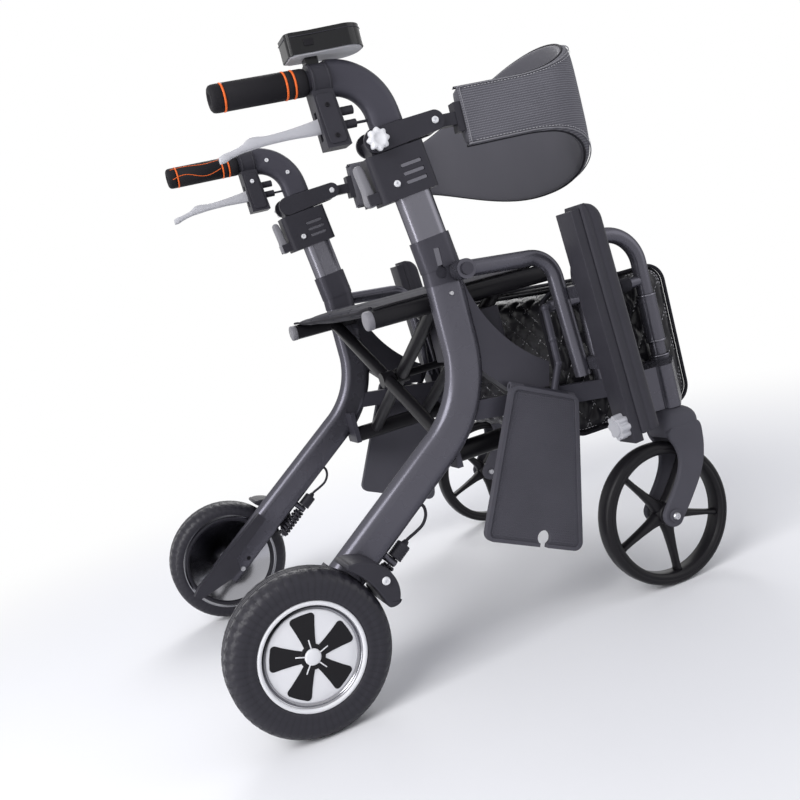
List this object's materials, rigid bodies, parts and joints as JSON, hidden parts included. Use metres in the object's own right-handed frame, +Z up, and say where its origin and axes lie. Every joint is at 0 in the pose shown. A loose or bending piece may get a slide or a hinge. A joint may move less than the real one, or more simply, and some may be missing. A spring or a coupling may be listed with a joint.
{
  "type": "rollator transport chair",
  "caption": "Folding rollator that doubles as a pushed transport chair, with hub-motor rear wheels, swivel casters, seat sling, curved backrest band, swing-up armrests, footplates and bag.",
  "frame": {"origin": "on the floor under the middle of the bounding box", "axes": "+X forwards to the casters, +Y to the left side, +Z up"},
  "size_m": [0.7664, 0.69, 0.8225],
  "materials": {
    "frame_paint": "graphite metallic powder coat on aluminium tube",
    "black_paint": "black anodised aluminium",
    "satin_tube": "satin grey anodised",
    "black_plastic": "black moulded nylon",
    "grey_plastic": "grey textured moulding",
    "pale_plastic": "light grey moulding",
    "gloss_black": "glossy black moulding",
    "grip_rubber": "soft black rubber",
    "wheel_black": "black moulded wheel with moulded tread",
    "tyre": "black tyre rubber",
    "cable_black": "sleeved cable with steel spring",
    "pad_foam": "moulded foam skin",
    "woven_cloth": "grey woven cloth with light piping",
    "bag_cloth": "black quilted cloth"
  },
  "bodies": {
    "frame_right": {"rear_leg_right": "frame_paint", "side_casting_right": "frame_paint", "upper_post_right": "satin_tube", "clamp_housing_right": "black_plastic", "front_frame_right": "frame_paint", "side_rail_right": "black_paint", "footrest_hanger_right": "black_paint", "tip_pedal_right": "black_plastic", "brake_cable_right": "cable_black", "storage_bag": "bag_cloth", "battery_box": "black_plastic"},
    "handle_right": {"handle_tube_right": "black_paint", "grip_right": "grip_rubber", "brake_housing_right": "black_plastic", "controller": "gloss_black"},
    "hand_lever_right": {"brake_lever_right": "pale_plastic"},
    "cam_right": {"cam_lever_right": "pale_plastic"},
    "arm_right": {"backrest_arm_right": "black_plastic"},
    "link_right": {"backrest_link_right": "black_plastic", "backrest_band": "woven_cloth"},
    "arm_knob_right": {"backrest_knob_right": "pale_plastic"},
    "armrest_right": {"armrest_tube_right": "frame_paint", "armrest_pad_right": "pad_foam"},
    "pad_knob_right": {"armrest_knob_right": "pale_plastic"},
    "foot_right": {"footplate_right": "grey_plastic"},
    "drive_wheel_right": {"drive_tyre_right": "tyre", "drive_hub_right": "pale_plastic"},
    "fork_right": {"caster_fork_right": "frame_paint"},
    "caster_right": {"caster_wheel_right": "wheel_black"},
    "shoe_right": {"brake_shoe_right": "black_plastic"},
    "frame_left": {"rear_leg_left": "frame_paint", "side_casting_left": "frame_paint", "upper_post_left": "satin_tube", "clamp_housing_left": "black_plastic", "front_frame_left": "frame_paint", "side_rail_left": "black_paint", "footrest_hanger_left": "black_paint", "tip_pedal_left": "black_plastic", "brake_cable_left": "cable_black"},
    "handle_left": {"handle_tube_left": "black_paint", "grip_left": "grip_rubber", "brake_housing_left": "black_plastic"},
    "hand_lever_left": {"brake_lever_left": "pale_plastic"},
    "cam_left": {"cam_lever_left": "pale_plastic"},
    "arm_left": {"backrest_arm_left": "black_plastic"},
    "link_left": {"backrest_link_left": "black_plastic"},
    "arm_knob_left": {"backrest_knob_left": "pale_plastic"},
    "armrest_left": {"armrest_tube_left": "frame_paint", "armrest_pad_left": "pad_foam"},
    "pad_knob_left": {"armrest_knob_left": "pale_plastic"},
    "foot_left": {"footplate_left": "grey_plastic"},
    "drive_wheel_left": {"drive_tyre_left": "tyre", "drive_hub_left": "pale_plastic"},
    "fork_left": {"caster_fork_left": "frame_paint"},
    "caster_left": {"caster_wheel_left": "wheel_black"},
    "shoe_left": {"brake_shoe_left": "black_plastic"},
    "button": {"controller_button": "pale_plastic"},
    "cross_right": {"brace_right": "black_paint"},
    "cross_left": {"brace_left": "black_paint", "seat_sling": "woven_cloth"}
  },
  "joints": [
    {"name": "handle_height_right", "type": "slide", "parent": "frame_right", "child": "handle_right", "axis": [-0.1219, 0, 0.9925], "range_m": [0, 0.08]},
    {"name": "lever_squeeze_right", "type": "hinge", "parent": "handle_right", "child": "hand_lever_right", "pos_m": [-0.07275, -0.242, 0.712], "axis": [0, 1, 0], "range_deg": [0, 16], "stiffness_Nm_per_rad": 1.2},
    {"name": "cam_open_right", "type": "hinge", "parent": "frame_right", "child": "cam_right", "pos_m": [-0.03984, -0.242, 0.6081], "axis": [0, -1, 0], "range_deg": [0, 100]},
    {"name": "arm_tilt_right", "type": "hinge", "parent": "frame_right", "child": "arm_right", "pos_m": [-0.01916, -0.242, 0.67764], "axis": [0, -1, 0], "range_deg": [0, 25]},
    {"name": "link_tilt_right", "type": "hinge", "parent": "arm_right", "child": "link_right", "pos_m": [0.0662, -0.242, 0.68812], "axis": [0, -1, 0], "range_deg": [0, 30]},
    {"name": "arm_knob_turn_right", "type": "hinge", "parent": "frame_right", "child": "arm_knob_right", "pos_m": [-0.01916, -0.266, 0.67764], "axis": [0, 1, 0], "continuous": true},
    {"name": "armrest_swing_right", "type": "hinge", "parent": "frame_right", "child": "armrest_right", "pos_m": [0.04725, -0.2719, 0.496], "axis": [0, -1, 0], "range_deg": [0, 90]},
    {"name": "pad_knob_turn_right", "type": "hinge", "parent": "armrest_right", "child": "pad_knob_right", "pos_m": [0.19332, -0.3245, 0.24563], "axis": [-0.9986, 0, -0.0523], "continuous": true},
    {"name": "footplate_swing_right", "type": "hinge", "parent": "frame_right", "child": "foot_right", "pos_m": [0.16925, -0.26, 0.288], "axis": [-0.9063, 0, 0.4226], "range_deg": [0, 80]},
    {"name": "drive_spin_right", "type": "hinge", "parent": "frame_right", "child": "drive_wheel_right", "pos_m": [-0.28075, -0.29, 0.1025], "axis": [0, 1, 0], "continuous": true},
    {"name": "caster_swivel_right", "type": "hinge", "parent": "frame_right", "child": "fork_right", "pos_m": [0.29625, -0.288, 0.24], "axis": [0, 0, 1], "continuous": true},
    {"name": "caster_spin_right", "type": "hinge", "parent": "fork_right", "child": "caster_right", "pos_m": [0.24625, -0.288, 0.1], "axis": [0, 1, 0], "continuous": true},
    {"name": "shoe_press_right", "type": "hinge", "parent": "frame_right", "child": "shoe_right", "pos_m": [-0.17088, -0.242, 0.1585], "axis": [0, -1, 0], "range_deg": [0, 4]},
    {"name": "handle_height_left", "type": "slide", "parent": "frame_left", "child": "handle_left", "axis": [-0.1219, 0, 0.9925], "range_m": [0, 0.08]},
    {"name": "lever_squeeze_left", "type": "hinge", "parent": "handle_left", "child": "hand_lever_left", "pos_m": [-0.07275, 0.242, 0.712], "axis": [0, 1, 0], "range_deg": [0, 16], "stiffness_Nm_per_rad": 1.2},
    {"name": "cam_open_left", "type": "hinge", "parent": "frame_left", "child": "cam_left", "pos_m": [-0.03984, 0.242, 0.6081], "axis": [0, -1, 0], "range_deg": [0, 100]},
    {"name": "arm_tilt_left", "type": "hinge", "parent": "frame_left", "child": "arm_left", "pos_m": [-0.01916, 0.242, 0.67764], "axis": [0, -1, 0], "range_deg": [0, 25]},
    {"name": "link_tilt_left", "type": "hinge", "parent": "arm_left", "child": "link_left", "pos_m": [0.0662, 0.242, 0.68812], "axis": [0, -1, 0], "range_deg": [0, 30]},
    {"name": "arm_knob_turn_left", "type": "hinge", "parent": "frame_left", "child": "arm_knob_left", "pos_m": [-0.01916, 0.266, 0.67764], "axis": [0, 1, 0], "continuous": true},
    {"name": "armrest_swing_left", "type": "hinge", "parent": "frame_left", "child": "armrest_left", "pos_m": [0.04725, 0.2719, 0.496], "axis": [0, -1, 0], "range_deg": [0, 90]},
    {"name": "pad_knob_turn_left", "type": "hinge", "parent": "armrest_left", "child": "pad_knob_left", "pos_m": [0.19332, 0.3245, 0.24563], "axis": [-0.9986, 0, -0.0523], "continuous": true},
    {"name": "footplate_swing_left", "type": "hinge", "parent": "frame_left", "child": "foot_left", "pos_m": [0.16925, 0.26, 0.288], "axis": [0.9063, 0, -0.4226], "range_deg": [0, 80]},
    {"name": "drive_spin_left", "type": "hinge", "parent": "frame_left", "child": "drive_wheel_left", "pos_m": [-0.28075, 0.29, 0.1025], "axis": [0, 1, 0], "continuous": true},
    {"name": "caster_swivel_left", "type": "hinge", "parent": "frame_left", "child": "fork_left", "pos_m": [0.29625, 0.288, 0.24], "axis": [0, 0, 1], "continuous": true},
    {"name": "caster_spin_left", "type": "hinge", "parent": "fork_left", "child": "caster_left", "pos_m": [0.24625, 0.288, 0.1], "axis": [0, 1, 0], "continuous": true},
    {"name": "shoe_press_left", "type": "hinge", "parent": "frame_left", "child": "shoe_left", "pos_m": [-0.17088, 0.242, 0.1585], "axis": [0, -1, 0], "range_deg": [0, 4]},
    {"name": "fold", "type": "hinge", "parent": "frame_right", "child": "cross_right", "pos_m": [0.06925, -0.21, 0.258], "axis": [1, 0, 0], "range_deg": [0, 40], "deforming": ["seat_sling", "backrest_band", "storage_bag"]},
    {"name": "scissor", "type": "hinge", "parent": "cross_right", "child": "cross_left", "pos_m": [0.06925, 0, 0.36], "axis": [1, 0, 0], "range_deg": [-80, 0]},
    {"name": "left_frame_level", "type": "hinge", "parent": "cross_left", "child": "frame_left", "pos_m": [0.06925, 0.21, 0.258], "axis": [1, 0, 0], "range_deg": [0, 40]},
    {"name": "button_press", "type": "slide", "parent": "handle_right", "child": "button", "axis": [0, 0, -1], "range_m": [0, 0.0012], "stiffness_N_per_m": 300}
  ],
  "couplings": [
    {"joint": "shoe_press_right", "follows": "lever_squeeze_right", "ratio": 0.25},
    {"joint": "shoe_press_left", "follows": "lever_squeeze_left", "ratio": 0.25},
    {"joint": "scissor", "follows": "fold", "ratio": -2},
    {"joint": "left_frame_level", "follows": "fold", "ratio": 1},
    {"joint": "arm_tilt_left", "follows": "arm_tilt_right", "ratio": 1},
    {"joint": "link_tilt_left", "follows": "link_tilt_right", "ratio": 1}
  ]
}
